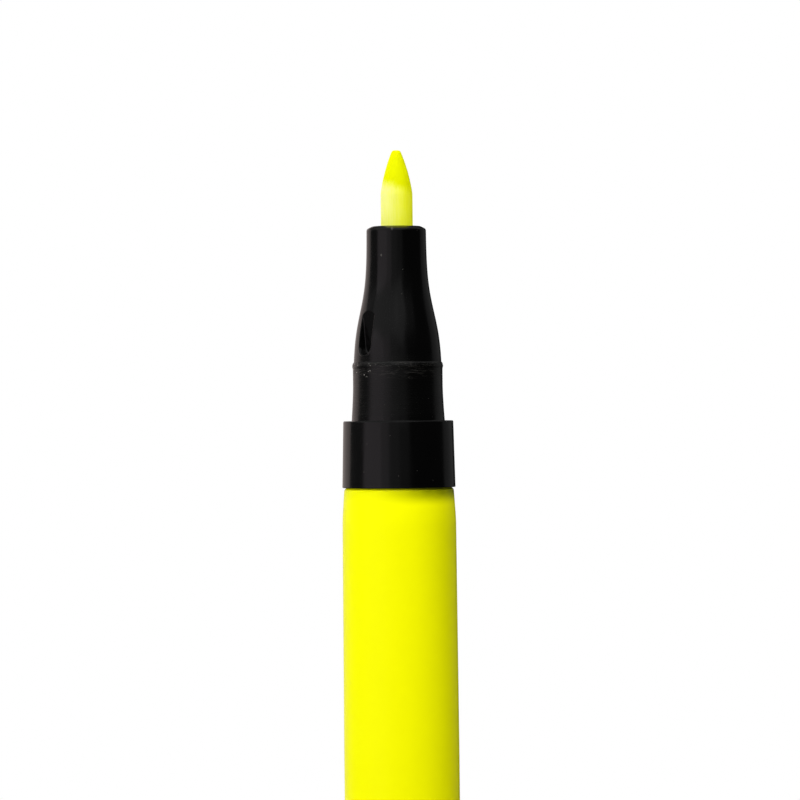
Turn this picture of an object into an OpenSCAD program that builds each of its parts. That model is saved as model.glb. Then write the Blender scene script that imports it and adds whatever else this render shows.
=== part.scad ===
// Slim pen-style highlighter, standing nib up on its posted cap.
// Z runs along the pen's axis. z = 0 is the flat face of the cap's crown.

/* [Overall] */
// Length of the cap, from its crown to its mouth
cap_length = 46; // [44:0.5:50]
// Length of the barrel, from its rear shoulder to its front edge
barrel_length = 75; // [65:1:90]
// Largest diameter of the barrel
barrel_d = 11.08; // [10.9:0.02:11.4]

/* [Nib] */
// Diameter of the fibre nib
nib_d = 3.06; // [2.9:0.01:3.1]
// Length of nib that stands out of the neck
nib_exposed = 7.3; // [6:0.1:9]
// Diameter of the flat at the very tip
nib_flat_d = 0.52; // [0.4:0.02:0.6]

/* [Neck] */
// Length of the neck, from the collar to its front face
neck_length = 18.7; // [18.2:0.1:19.5]
// Diameter of the neck at its front
neck_front_d = 5.72; // [5.6:0.02:5.76]
// Diameter of the neck's round base, which the cap grips
neck_base_d = 8.62; // [8.55:0.01:8.68]
// Length of the collar between the neck and the barrel
collar_length = 6.4; // [5:0.1:8]
// Diameter of the collar at its front
collar_front_d = 10.58; // [10.4:0.02:10.6]
// Diameter of the collar where it meets the barrel
collar_rear_d = 10.88; // [10.7:0.02:10.9]

/* [Barrel] */
// Diameter of the barrel's bore
bore_d = 8.9; // [8.8:0.02:8.94]
// Length of the tail that the cap is posted on
tail_length = 11; // [9:0.1:11.4]
// Number of ribs that centre the reservoir
rib_count = 6; // [3:1:8]

/* [Reservoir] */
// Diameter of the fibre reservoir
core_d = 7; // [6.6:0.05:7]
// Thickness of the film round the reservoir
film_wall = 0.12; // [0.08:0.01:0.13]
// Outer diameter of the breather tube
breather_d = 1.1; // [0.9:0.05:1.15]

/* [Cap] */
// Diameter of the cap at its mouth
cap_mouth_d = 10.6; // [10.4:0.05:10.7]
// Diameter of the cap just above its crown
cap_crown_d = 10; // [9.8:0.05:10.2]
// Number of vent holes through the crown
vent_count = 3; // [2:1:5]

/* [Clip] */
// Length of the clip, from its hinge line to its tip
clip_length = 37.5; // [34:0.5:39]
// Width of the clip at its root
clip_root_w = 4.2; // [3.6:0.1:4.6]
// Width of the clip at its tip
clip_tip_w = 3.2; // [2.6:0.1:3.6]

/* [Hidden] */
$fn = 96;
yellow = "yellow";
black = [0.12, 0.12, 0.12];

// Clearances
press_gap = 0.02;  // radial, between pieces pressed together
run_gap = 0.03;    // radial, in the clip's hinge
seat_gap = 0.1;    // between the cap's mouth and the barrel's rear shoulder
eps = 0.5;         // how far a cutter runs past what it cuts

// Heights along the pen
shoulder_z = cap_length + seat_gap;
front_z = shoulder_z + barrel_length;
collar_z = front_z + collar_length;
neck_z = collar_z + neck_length;
tip_z = neck_z + nib_exposed;
tail_z = shoulder_z - tail_length;

// Neck
neck_front_r = neck_front_d / 2;
neck_base_r = neck_base_d / 2;
base_flare = 0.17;       // how far the base widens as it meets the collar
base_flare_h = 3.4;
bead_h = 5.25;           // height of the snap bead over the collar
bead_r = neck_base_r + 0.075;
waist_start_h = 5.72;    // the waist's curve starts here
waist_end_h = 17.2;      // and ends here
waist_r = 4.285;         // the radius it falls from, far below
throat_r = 2.848;        // and the radius it falls to, far above
waist_mid_h = 10.4;      // height at which it is halfway
waist_soft = 1.65;       // the larger, the gentler its fall
waist_steps = 20;
edge = 0.2;              // radius of the small rounded edges
face_edge = 0.42;        // radius of the front face's edge
neck_wall = 1.25;
pocket_angle = 219;      // where the pocket in the waist lies, round the axis
pocket_w = 1.72;
pocket_h = 6.35;         // height of the pocket's lower end
pocket_top_h = 10.2;     // height at which its floor runs out of the waist
pocket_floor_r = 3.5;    // distance of its floor from the axis there
pocket_slope = 5;        // tilt of its floor, in degrees
channel_r = 1.9;         // bore of the nib's channel
channel_tube_r = 2.55;
lip_r = nib_d / 2 + 0.03;
lip_h = 1.2;
crush_rib_w = 0.35;
crush_rib_count = 6;
channel_end_h = 2.2;
chamber_top_h = 8.6;
skirt_length = 8.5;
skirt_r = bore_d / 2 - press_gap;
skirt_inner_r = 3.68;
skirt_ring_depth = 6;
skirt_ring_r = bore_d / 2 + 0.09;
skirt_ring_h = 0.4;

// Barrel
barrel_r = barrel_d / 2;
bore_r = bore_d / 2;
front_taper = 25;        // length over which the barrel narrows to its front
front_draft = 0.09;
front_lip_h = 3.4;
front_lip = 0.2;
rear_r = 5.35;
rear_taper = 15;
tail_r = neck_base_r - 0.03;
tail_bore_r = 3.3;
tail_step = 2;           // wall between the shoulder and the bore's floor
pip_count = 3;
rib_w = 0.6;
rib_inner_r = core_d / 2 + film_wall + 0.06;
rib_end = 12;            // the ribs stop this far behind the front edge

// Reservoir
core_r = core_d / 2;
core_z0 = shoulder_z + tail_step + 0.05;
core_z1 = collar_z + 1.5;
nib_tail = 2;            // how far the nib reaches below the collar's top
nib_r = nib_d / 2;
nib_point = 4.2;         // the point is ground within this distance of the tip
nib_tail_cone = 1.4;
socket_r = nib_r + press_gap;
film_gap = 0.01;
film_margin = 0.5;
breather_r = breather_d / 2;
breather_y = core_r - breather_r - 0.03;
breather_bore_r = 0.3;

// End plug
plug_r = tail_bore_r - press_gap;
plug_skirt = 6;
plug_flange = 1;
plug_flange_r = 4;
plug_wall = 0.7;
fin_w = 0.8;
fin_r = 2.7;

// Cap
cap_mouth_r = cap_mouth_d / 2;
cap_crown_r = cap_crown_d / 2;
crown_flat_r = cap_crown_r - 0.7;
crown_round_h = 0.8;
crown_wall = 1.4;
mouth_bore_r = neck_base_r + base_flare + 0.08;
grip_bore_r = neck_base_r + 0.1;
snap_rib_r = neck_base_r + 0.03;
snap_groove_r = bead_r + 0.06;
inner_cap_depth = 12.5;  // from the mouth to the inner cap
inner_cap_bore_r = 4.25;
inner_cap_end_depth = neck_length + nib_exposed + 1.6;
inner_cap_wall = 1;
inner_cap_z1 = cap_length - inner_cap_depth;
inner_cap_z0 = cap_length - inner_cap_end_depth - inner_cap_wall;
fin_count = 3;
cap_fin_w = 0.8;
cap_fin_inner_r = 2.4;
vent_r = 0.8;
vent_circle_r = 2.4;
chamber_r = 3.1;         // bore of the inner cap round the nib
seal_r = neck_front_r + 0.02;
seal_depth = 16.2;
inner_cap_tube_r = 3.75;
inner_cap_rib_w = 1;
inner_cap_rib_count = 6;
flange_h = 1.2;
air_notch_w = 1.4;

// Clip, as seen from the side: distance from the pen's axis, and height
hinge_y = 6.35;
hinge_z = 3.6;
knuckle_r = 0.75;
clip_in = 6.28;          // inner face of the clip's bar
clip_out = 7.4;          // outer face of the clip's bar
clip_nose = 5.46;        // how near to the axis the clip's nose comes
clip_tip_z = hinge_z + clip_length;

// Points of a rounded corner, centred on [r, z], of radius s, from angle a0 to a1
function corner(r, z, s, a0, a1, n = 4) = [for (i = [0:n])
    let (a = a0 + (a1 - a0) * i / n) [r + s * cos(a), z + s * sin(a)]];

// Radius of the neck's waist at a height over the collar: an S that falls from waist_r to throat_r
function neck_waist(h) = throat_r + (waist_r - throat_r) / (1 + exp((h - waist_mid_h) / waist_soft));

// Radius of the neck's base at a height over the collar
function neck_base(h) = neck_base_r + base_flare * pow(max(0, 1 - h / base_flare_h), 1.45);

// Radius of the barrel at a distance behind its front edge
function barrel_front(d) = barrel_r - front_draft * (1 - d / front_taper)
    - front_lip * pow(max(0, 1 - d / front_lip_h), 1.25);

// Radius of the ground point at a distance below the tip: a cone that swells less and less
function point_r(d) = 0.39 + 0.415 * d - 0.034 * d * d;

// Radius of the cap's outside at a height over the crown
function cap_out(z) = cap_crown_r + (cap_mouth_r - cap_crown_r) * z / cap_length;

// A row of flat ribs round the axis, each reaching from radius r0 to r1
module ribs(count, w, r0, r1, z0, z1, turn = 0) {
    for (i = [0:count - 1]) rotate(turn + i * 360 / count)
        translate([r0, -w / 2, z0]) cube([r1 - r0, w, z1 - z0]);
}

module ring(r_out, r_in, z0, z1) {
    difference() {
        translate([0, 0, z0]) cylinder(r = r_out, h = z1 - z0);
        translate([0, 0, z0 - eps]) cylinder(r = r_in, h = z1 - z0 + 2 * eps);
    }
}

// Tube of the pen, with ribs inside it and a stepped-down tail that the cap posts on
module barrel() color(yellow) {
    outline = concat(
        [[0, tail_z], [tail_r - edge, tail_z], [tail_r, tail_z + 2 * edge], [tail_r, shoulder_z],
         [rear_r - edge, shoulder_z]],
        [[rear_r, shoulder_z + edge], [barrel_r, shoulder_z + rear_taper],
         [barrel_r, front_z - front_taper]],
        [for (d = [front_lip_h, 2.4, 1.4, 0.4]) [barrel_front(d), front_z - d]],
        corner(barrel_front(0) - edge, front_z - edge, edge, 20, 90),
        [[0, front_z]]);
    groove_z = front_z - skirt_ring_depth;
    difference() {
        rotate_extrude() polygon(outline);
        translate([0, 0, shoulder_z + tail_step]) cylinder(r = bore_r, h = barrel_length);
        translate([0, 0, tail_z - eps]) cylinder(r = tail_bore_r, h = tail_length + tail_step + 2 * eps);
        translate([0, 0, groove_z - skirt_ring_h - 0.05])
            cylinder(r = skirt_ring_r + 0.03, h = 2 * skirt_ring_h + 0.1);
    }
    ribs(rib_count, rib_w, rib_inner_r, bore_r + 0.1,
        shoulder_z + tail_step, front_z - rib_end, 90 / rib_count);
    for (i = [0:pip_count - 1]) rotate(i * 360 / pip_count)
        translate([tail_r - 0.3, -0.4, shoulder_z - 2.4]) cube([0.4, 0.8, 1.6]);
}

// Shallow pocket in the waist, round at its lower end; its floor slopes out to the surface at its top
module waist_pocket() {
    low = pocket_top_h - pocket_h - pocket_w / 2;
    rotate(pocket_angle) translate([pocket_floor_r, 0, collar_z + pocket_top_h])
        rotate([0, pocket_slope, 0]) {
            translate([0, -pocket_w / 2, -low]) cube([2, pocket_w, low + 2]);
            translate([0, 0, -low]) rotate([0, 90, 0]) cylinder(r = pocket_w / 2, h = 2);
        }
}

// Nib holder: front face, waist, snap bead, base, collar and the skirt that is pressed into the barrel
module neck() color(black) {
    outline = concat(
        [[0, front_z - skirt_length], [skirt_r - edge, front_z - skirt_length],
         [skirt_r, front_z - skirt_length + 2 * edge], [skirt_r, front_z]],
        [[collar_rear_d / 2 - 0.05, front_z], [collar_rear_d / 2, front_z + 0.05]],
        corner(collar_front_d / 2 - 0.12, collar_z - 0.12, 0.12, 0, 90),
        [for (h = [0, 0.7, 1.5, 2.4, base_flare_h]) [neck_base(h), collar_z + h]],
        [[neck_base_r, collar_z + bead_h - 0.3], [bead_r, collar_z + bead_h - 0.07],
         [bead_r, collar_z + bead_h + 0.07], [neck_base_r, collar_z + bead_h + 0.32]],
        [for (i = [0:waist_steps])
            let (h = waist_start_h + (waist_end_h - waist_start_h) * i / waist_steps)
            [neck_waist(h), collar_z + h]],
        corner(neck_front_r - face_edge, neck_z - face_edge, face_edge, 0, 90),
        [[0, neck_z]]);
    chamber = concat(
        [[channel_tube_r, channel_end_h], [channel_tube_r, chamber_top_h]],
        [for (h = [chamber_top_h, 8, 7.2, 6.4, 5.4]) [neck_waist(max(h, waist_start_h)) - neck_wall, h]],
        [[skirt_inner_r - 0.3, 4], [skirt_inner_r - 0.2, channel_end_h]]);
    difference() {
        union() {
            rotate_extrude() polygon(outline);
            translate([0, 0, front_z - skirt_ring_depth - skirt_ring_h])
                cylinder(r = skirt_ring_r, h = 2 * skirt_ring_h);
        }
        translate([0, 0, front_z - skirt_length - eps]) cylinder(r = skirt_inner_r,
            h = collar_length + skirt_length + channel_end_h + eps);
        rotate_extrude() translate([0, collar_z]) polygon(chamber);
        translate([0, 0, collar_z]) cylinder(r = channel_r, h = neck_length - lip_h);
        translate([0, 0, neck_z - lip_h - eps]) cylinder(r = lip_r, h = lip_h + 2 * eps);
        waist_pocket();
    }
    ribs(crush_rib_count, crush_rib_w, nib_r + 0.01, channel_r + 0.1,
        collar_z + channel_end_h + 1, neck_z - lip_h - 0.4);
}

// Fibre rod: a ground point with a small flat tip, and a cone that pierces the reservoir
module nib() color([0.95, 1, 0.1]) {
    rod_z = collar_z - nib_tail;
    outline = concat([[0, rod_z], [0.4, rod_z], [nib_r, rod_z + nib_tail_cone]],
        [for (d = [nib_point, 3.7, 3.2, 2.7, 2.2, 1.7, 1.3, 0.9, 0.6, 0.3])
            [min(point_r(d), nib_r), tip_z - d]],
        corner(nib_flat_d / 2, tip_z - 0.2, 0.2, 20, 90),
        [[0, tip_z]]);
    rotate_extrude() polygon(outline);
}

// Bonded fibre rod that holds the ink, with a socket for the nib and a groove for the breather tube
module reservoir_core() color([0.85, 0.95, 0.1]) {
    socket_z = collar_z - nib_tail;
    difference() {
        translate([0, 0, core_z0]) cylinder(r = core_r, h = core_z1 - core_z0);
        rotate_extrude() polygon([[0, socket_z - 0.05], [0.45, socket_z - 0.05],
            [socket_r, socket_z + nib_tail_cone], [socket_r, core_z1 + eps], [0, core_z1 + eps]]);
        translate([0, breather_y, core_z0 - eps])
            cylinder(r = breather_r + press_gap, h = core_z1 - core_z0 + 2 * eps);
        translate([-0.3, breather_y, core_z0 - eps]) cube([0.6, 2, core_z1 - core_z0 + 2 * eps]);
    }
}

// Film sleeve round the reservoir
module reservoir_film() color([0.95, 0.95, 0.9]) {
    ring(core_r + film_gap + film_wall, core_r + film_gap, core_z0 + film_margin, core_z1 - film_margin);
}

// Thin tube that lets air past the reservoir
module breather_tube() color([0.9, 0.9, 0.85]) {
    translate([0, breather_y, 0]) ring(breather_r, breather_bore_r, core_z0, core_z1 - 0.1);
}

// Plug that closes the tail and holds the reservoir forward
module end_plug() color(black) {
    outline = [[0, tail_z - plug_flange], [plug_flange_r - edge, tail_z - plug_flange],
        [plug_flange_r, tail_z - plug_flange + edge], [plug_flange_r, tail_z], [plug_r, tail_z],
        [plug_r, tail_z + plug_skirt - edge], [plug_r - edge, tail_z + plug_skirt],
        [0, tail_z + plug_skirt]];
    difference() {
        rotate_extrude() polygon(outline);
        translate([0, 0, tail_z + plug_wall]) cylinder(r = plug_r - plug_wall, h = plug_skirt);
    }
    intersection() {
        translate([0, 0, tail_z]) cylinder(r = fin_r, h = core_z0 - tail_z - 0.05);
        for (a = [45, 135]) rotate(a)
            translate([-fin_r, -fin_w / 2, tail_z]) cube([2 * fin_r, fin_w, core_z0 - tail_z - 0.05]);
    }
}

// Block on the cap that holds the clip's knuckle, drawn as seen from the side
module clip_seat() {
    translate([clip_root_w / 2, 0, 0]) rotate([90, 0, -90]) linear_extrude(clip_root_w) difference() {
        polygon([[4.7, 1.8], [6.1, 1.8], [hinge_y, 2.1], [hinge_y, hinge_z], [5.75, 4.3], [4.7, 5.2]]);
        translate([hinge_y, hinge_z]) circle(r = knuckle_r + run_gap);
    }
}

// Cap: tapered shell, snap rib and groove in its mouth, and fins that stop the inner cap
module cap_shell() color(yellow) {
    outline = concat([[0, 0], [crown_flat_r, 0]],
        corner(cap_out(crown_round_h) - crown_round_h, crown_round_h, crown_round_h, -70, 0),
        [[cap_mouth_r, cap_length - edge], [cap_mouth_r - edge / 2, cap_length], [0, cap_length]]);
    hollow = [[0, crown_wall], [inner_cap_bore_r - 0.1, crown_wall], [inner_cap_bore_r, crown_wall + 1],
        [inner_cap_bore_r, inner_cap_z1 + 0.1], [grip_bore_r - 0.02, inner_cap_z1 + 0.6],
        [grip_bore_r - 0.02, cap_length - bead_h - 0.75], [snap_groove_r, cap_length - bead_h - 0.55],
        [snap_groove_r, cap_length - bead_h + 0.25], [snap_rib_r, cap_length - bead_h + 0.4],
        [snap_rib_r, cap_length - bead_h + 0.6], [grip_bore_r, cap_length - bead_h + 0.9],
        [grip_bore_r, cap_length - 2], [mouth_bore_r, cap_length - 0.6], [mouth_bore_r + 0.1, cap_length],
        [mouth_bore_r + 0.1, cap_length + eps], [0, cap_length + eps]];
    difference() {
        union() {
            rotate_extrude() polygon(outline);
            clip_seat();
        }
        rotate_extrude() polygon(hollow);
        for (i = [0:vent_count - 1]) rotate(90 + i * 360 / vent_count)
            translate([vent_circle_r, 0, -eps]) cylinder(r = vent_r, h = crown_wall + 2 * eps);
    }
    ribs(fin_count, cap_fin_w, cap_fin_inner_r, inner_cap_bore_r + 0.1, crown_wall - 0.2, inner_cap_z0, 30);
}

// Cup inside the cap that seals round the front of the neck and keeps the nib wet
module inner_cap() color([0.93, 0.93, 0.88]) {
    seal_z = cap_length - seal_depth;
    flange_r = inner_cap_bore_r - press_gap;
    outline = [[0, inner_cap_z0], [inner_cap_tube_r - edge, inner_cap_z0],
        [inner_cap_tube_r, inner_cap_z0 + edge], [inner_cap_tube_r, inner_cap_z1 - flange_h],
        [flange_r, inner_cap_z1 - flange_h], [flange_r, inner_cap_z1], [0, inner_cap_z1]];
    hollow = [[0, inner_cap_z0 + inner_cap_wall], [chamber_r, inner_cap_z0 + inner_cap_wall],
        [chamber_r, seal_z - 0.5], [seal_r, seal_z - 0.15], [seal_r, seal_z + 0.2],
        [seal_r + 0.06, cap_length - 15.4], [seal_r + 0.16, inner_cap_z1 - 1.4],
        [seal_r + 0.72, inner_cap_z1], [seal_r + 0.72, inner_cap_z1 + eps], [0, inner_cap_z1 + eps]];
    difference() {
        union() {
            rotate_extrude() polygon(outline);
            ribs(inner_cap_rib_count, inner_cap_rib_w, inner_cap_tube_r - 0.2, flange_r - 0.02,
                inner_cap_z0 + 1, inner_cap_z1 - flange_h + 0.1);
        }
        rotate_extrude() polygon(hollow);
        ribs(inner_cap_rib_count, air_notch_w, inner_cap_tube_r, flange_r + eps,
            inner_cap_z1 - flange_h - eps, inner_cap_z1 + eps, 30);
    }
}

// Clip: knuckle, tapered bar and the nose that grips a pocket
module clip() color(yellow) {
    side = [[hinge_y - 0.35, hinge_z], [clip_in, hinge_z + 3.5], [clip_in + 0.07, clip_tip_z - 5.6],
        [clip_nose, clip_tip_z - 3.2], [clip_nose, clip_tip_z - 2.4], [clip_in + 0.2, clip_tip_z],
        [clip_out - 0.15, clip_tip_z], [clip_out - 0.05, clip_tip_z - 2], [clip_out, clip_tip_z - 18],
        [hinge_y + knuckle_r - 0.15, hinge_z - 0.1]];
    half = clip_root_w / 2;
    intersection() {
        union() {
            translate([half + eps, 0, 0]) rotate([90, 0, -90]) linear_extrude(2 * half + 2 * eps)
                polygon(side);
            translate([-half - eps, -hinge_y, hinge_z]) rotate([0, 90, 0])
                cylinder(r = knuckle_r, h = 2 * half + 2 * eps);
        }
        translate([0, -4, 0]) rotate([90, 0, 0]) linear_extrude(6) polygon([
            [-half, 0], [half, 0], [half, hinge_z + 1],
            [clip_tip_w / 2, clip_tip_z - 1], [clip_tip_w / 2 - 0.8, clip_tip_z + 0.1],
            [0.8 - clip_tip_w / 2, clip_tip_z + 0.1], [-clip_tip_w / 2, clip_tip_z - 1],
            [-half, hinge_z + 1]]);
    }
}

barrel();
neck();
nib();
reservoir_core();
reservoir_film();
breather_tube();
end_plug();
cap_shell();
inner_cap();
clip();
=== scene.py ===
import math
import bpy
import numpy as np
from mathutils import Matrix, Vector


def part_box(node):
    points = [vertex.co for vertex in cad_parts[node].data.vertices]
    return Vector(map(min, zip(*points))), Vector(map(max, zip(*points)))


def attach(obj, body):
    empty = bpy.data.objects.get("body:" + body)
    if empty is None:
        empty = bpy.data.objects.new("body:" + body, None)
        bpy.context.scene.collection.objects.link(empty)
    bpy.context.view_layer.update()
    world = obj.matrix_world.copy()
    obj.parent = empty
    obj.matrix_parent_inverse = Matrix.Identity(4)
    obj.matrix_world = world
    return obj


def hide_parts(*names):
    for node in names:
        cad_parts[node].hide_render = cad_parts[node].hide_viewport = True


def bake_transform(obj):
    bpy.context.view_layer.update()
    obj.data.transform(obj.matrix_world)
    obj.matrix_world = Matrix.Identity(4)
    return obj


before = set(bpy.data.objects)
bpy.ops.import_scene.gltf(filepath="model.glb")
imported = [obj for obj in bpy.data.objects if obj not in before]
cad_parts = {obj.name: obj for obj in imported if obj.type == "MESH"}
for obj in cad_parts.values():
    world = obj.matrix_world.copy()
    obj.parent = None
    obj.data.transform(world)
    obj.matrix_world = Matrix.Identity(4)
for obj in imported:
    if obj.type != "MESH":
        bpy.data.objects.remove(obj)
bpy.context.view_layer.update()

mm = 0.001
tiny = 1e-6  # keeps an arc's angle off 0 and a length off 0
crease = math.radians(50)  # edges sharper than this stay sharp in the shading
sunk = 0.05  # how far a rib or fin starts inside the wall it stands on
noTris = np.zeros((0, 3), int)


def putMesh(name, points, quads, tris):
    # points (n, 3) in millimetres; quads (m, 4) and tris (k, 3) index them, counter-clockwise from outside
    mesh = bpy.data.meshes.new(name)
    mesh.vertices.add(len(points))
    mesh.vertices.foreach_set("co", (np.asarray(points) * mm).astype(np.float32).ravel())
    mesh.loops.add(quads.size + tris.size)
    mesh.loops.foreach_set("vertex_index", np.concatenate([quads.ravel(), tris.ravel()]).astype(np.int32))
    starts = np.concatenate([np.arange(len(quads)) * 4, quads.size + np.arange(len(tris)) * 3])
    mesh.polygons.add(len(quads) + len(tris))
    mesh.polygons.foreach_set("loop_start", starts.astype(np.int32))
    mesh.update(calc_edges=True)
    mesh.validate()
    mesh.shade_smooth()
    piece = bpy.data.objects.new(name, mesh)
    bpy.context.scene.collection.objects.link(piece)
    return piece


def gridFaces(rows, cols, wrapRows=False):
    # quad (i, j), (i, j+1), (i+1, j+1), (i+1, j) for each cell; the last column joins the first, and with
    # wrapRows the last row does too
    i = np.arange(rows if wrapRows else rows - 1)[:, None]
    j = np.arange(cols)[None, :]
    i2, j2 = (i + 1) % rows, (j + 1) % cols
    return np.stack([i * cols + j, i * cols + j2, i2 * cols + j2, i2 * cols + j], -1).reshape(-1, 4)


def fanFaces(ring, pole, cols, outward=True):
    # triangles from the vertices ring ... ring + cols - 1 to one pole vertex
    j = np.arange(cols)
    a, b = ring + j, ring + (j + 1) % cols
    return np.stack([a, b, np.full(cols, pole)] if outward else [b, a, np.full(cols, pole)], -1)


def closedGrid(grid):
    # a (rows, cols, 3) grid wrapped in cols, closed at both ends by a fan to the middle of its end ring
    rows, cols = grid.shape[:2]
    points = np.vstack([grid.reshape(-1, 3), grid[0].mean(0), grid[-1].mean(0)])
    tris = np.vstack([fanFaces(0, rows * cols, cols, False),
                      fanFaces((rows - 1) * cols, rows * cols + 1, cols)])
    return points, gridFaces(rows, cols), tris


def hoopGrid(grid):
    # a (rows, cols, 3) grid wrapped in both directions
    rows, cols = grid.shape[:2]
    return grid.reshape(-1, 3), gridFaces(rows, cols, wrapRows=True), noTris


def turned(profile, sides):
    # profile rows (r, z) carried round the axis: x = r cos t, y = r sin t, z = z; sides is a number of
    # equal steps, or the angles themselves
    t = np.asarray(sides) if np.ndim(sides) else np.arange(sides) * 2 * np.pi / sides
    r, z = profile[:, :1], profile[:, 1:]
    return np.stack([r * np.cos(t), r * np.sin(t), z + 0 * t], -1)


def softLine(corners, arcSteps=7, closed=True):
    # corners holds rows of r, z and radius; a corner with half angle h is cut back by radius / tan h along
    # both its sides and bridged by an arc about the point radius / sin h away on its bisector
    c = np.array(corners, float)
    p, rad = c[:, :2], c[:, 2]
    u, v = np.roll(p, 1, 0) - p, np.roll(p, -1, 0) - p
    u, v = u / np.linalg.norm(u, axis=1)[:, None], v / np.linalg.norm(v, axis=1)[:, None]
    half = np.arccos(np.clip((u * v).sum(1), tiny - 1, 1 - tiny)) / 2
    live = rad > 0
    if not closed:
        live[[0, -1]] = False
    rad = np.where(live, rad, 0)
    cut = rad / np.tan(half)
    inward = (u + v) / np.maximum(np.linalg.norm(u + v, axis=1), tiny)[:, None]
    middle = p + inward * (rad / np.sin(half))[:, None]
    a, b = p + u * cut[:, None] - middle, p + v * cut[:, None] - middle
    sweep = (np.pi - 2 * half)[:, None, None]
    t = np.linspace(0, 1, arcSteps)[None, :, None]
    arc = (np.sin((1 - t) * sweep) * a[:, None] + np.sin(t * sweep) * b[:, None]) / np.sin(sweep)
    arc = arc + middle[:, None]
    keep = np.ones((len(c), arcSteps), bool)
    keep[~live, 1:] = False
    arc[~live, 0] = p[~live]
    return arc[keep]


def closeSet(line, step, closed=True):
    # adds points along a line so that no two neighbours are further apart than step
    way = np.vstack([line, line[:1]]) if closed else line
    s = np.concatenate([[0], np.cumsum(np.linalg.norm(np.diff(way, axis=0), axis=1))])
    n = np.maximum(1, np.ceil(np.diff(s) / step).astype(int))
    start = np.repeat(np.arange(len(n)), n)
    k = np.arange(n.sum()) - np.repeat(np.cumsum(n) - n, n)
    f = (k / np.repeat(n, n))[:, None]
    out = way[start] * (1 - f) + way[start + 1] * f
    return out if closed else np.vstack([out, way[-1:]])


def smooth(x, low, high):
    # 3t^2 - 2t^3 of t = (x - low) / (high - low) held between 0 and 1
    t = np.clip((x - low) / (high - low), 0, 1)
    return t * t * (3 - 2 * t)


def closedDisc(grid):
    # a grid of rings with its innermost closed by a fan, facing up
    rows, cols = grid.shape[:2]
    points = np.vstack([grid.reshape(-1, 3), grid[0].mean(0)])
    return points, gridFaces(rows, cols)[:, ::-1], fanFaces(0, rows * cols, cols, False)[:, ::-1]


def barBlock(low, high, turn):
    # a closed box between two corners, turned about the axis by an angle in radians
    x, y, z = (np.array([low[k], high[k]], float) for k in range(3))
    pick = np.array([[0, 0, 0], [1, 0, 0], [1, 1, 0], [0, 1, 0],
                     [0, 0, 1], [1, 0, 1], [1, 1, 1], [0, 1, 1]])
    p = np.stack([x[pick[:, 0]], y[pick[:, 1]], z[pick[:, 2]]], -1)
    c, s = math.cos(turn), math.sin(turn)
    p = p @ np.array([[c, s, 0], [-s, c, 0], [0, 0, 1]])
    quads = np.array([[0, 3, 2, 1], [4, 5, 6, 7], [0, 1, 5, 4],
                      [1, 2, 6, 5], [2, 3, 7, 6], [3, 0, 4, 7]])
    return p, quads, noTris


def gathered(parts):
    # several (points, quads, tris) put into one, their indices moved up
    points, quads, tris, base = [], [], [], 0
    for p, q, t in parts:
        points.append(p)
        quads.append(q + base)
        tris.append(t + base)
        base += len(p)
    return np.vstack(points), np.vstack(quads), np.vstack(tris)


class Wire:
    # holds one output socket; + - * on it adds a Math node
    def __init__(self, finish, socket):
        self.finish, self.socket = finish, socket

    def maths(self, operation, *values):
        return self.finish.node("ShaderNodeMath", {"operation": operation}, dict(enumerate(values)))

    def other(self, name):
        # another output of the same node
        return Wire(self.finish, self.socket.node.outputs[name])

    def __add__(self, v):
        return self.maths("ADD", self, v)

    __radd__ = __add__

    def __sub__(self, v):
        return self.maths("SUBTRACT", self, v)

    def __rsub__(self, v):
        return self.maths("SUBTRACT", v, self)

    def __mul__(self, v):
        return self.maths("MULTIPLY", self, v)

    def least(self, v):
        return self.maths("MINIMUM", self, v)

    def most(self, v):
        return self.maths("MAXIMUM", self, v)

    def ramp(self, low, high, to0=0.0, to1=1.0):
        # smooth step from to0 at low to to1 at high
        return self.finish.node("ShaderNodeMapRange", {"interpolation_type": "SMOOTHSTEP"},
                                {"Value": self, "From Min": low, "From Max": high,
                                 "To Min": to0, "To Max": to1})


def socketOf(sockets, key):
    # by its number, or the first one in use with that name
    return sockets[key] if isinstance(key, int) else next(
        k for k in sockets if key in (k.identifier, k.name) and k.enabled)


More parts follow.
